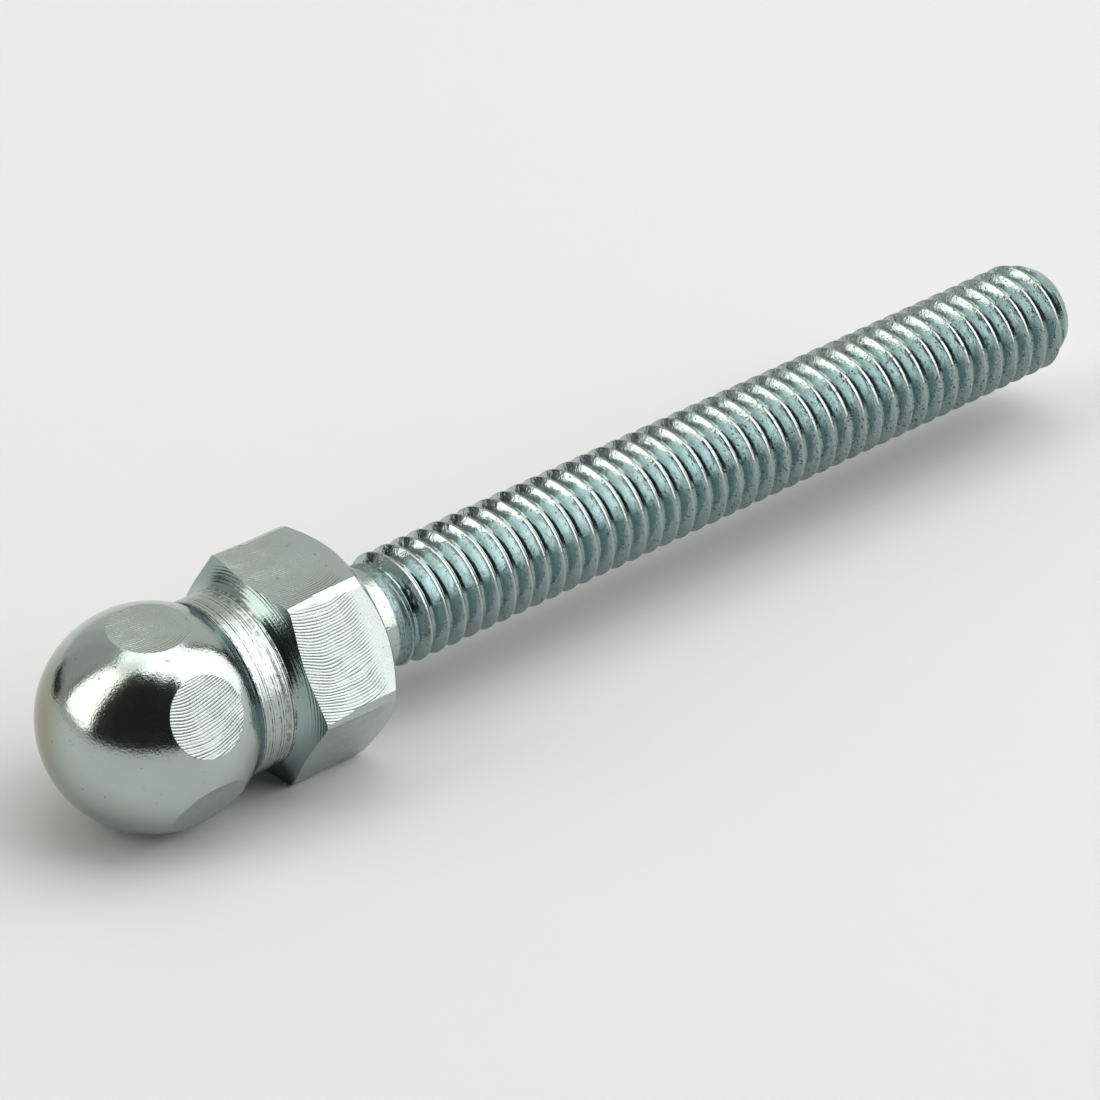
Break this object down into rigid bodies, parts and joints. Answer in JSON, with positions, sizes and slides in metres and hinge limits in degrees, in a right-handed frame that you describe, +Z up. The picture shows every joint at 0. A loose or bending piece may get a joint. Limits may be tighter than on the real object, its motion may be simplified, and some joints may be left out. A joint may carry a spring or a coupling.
{
  "type": "ball stud",
  "caption": "Ball-ended adjusting stud: a turned ball, a short neck and a hexagon on a long threaded rod, in one piece of zinc-plated steel.",
  "frame": {"origin": "bottom centre of the stud's box as it lies on a flat of its hexagon; the axis of the ball and the thread is 7.0 mm above it", "axes": "+X along the axis from the ball to the threaded end, +Z up and square to two flats of the hexagon, +Y across two of its corners"},
  "size_m": [0.0854, 0.016, 0.014],
  "materials": {
    "zinc_plate": "bright zinc plate with a clear blue-green passivation; polished ball, milled flats, turned neck and shank, rolled thread"
  },
  "bodies": {
    "root": {"ball_stud": "zinc_plate"}
  },
  "joints": []
}
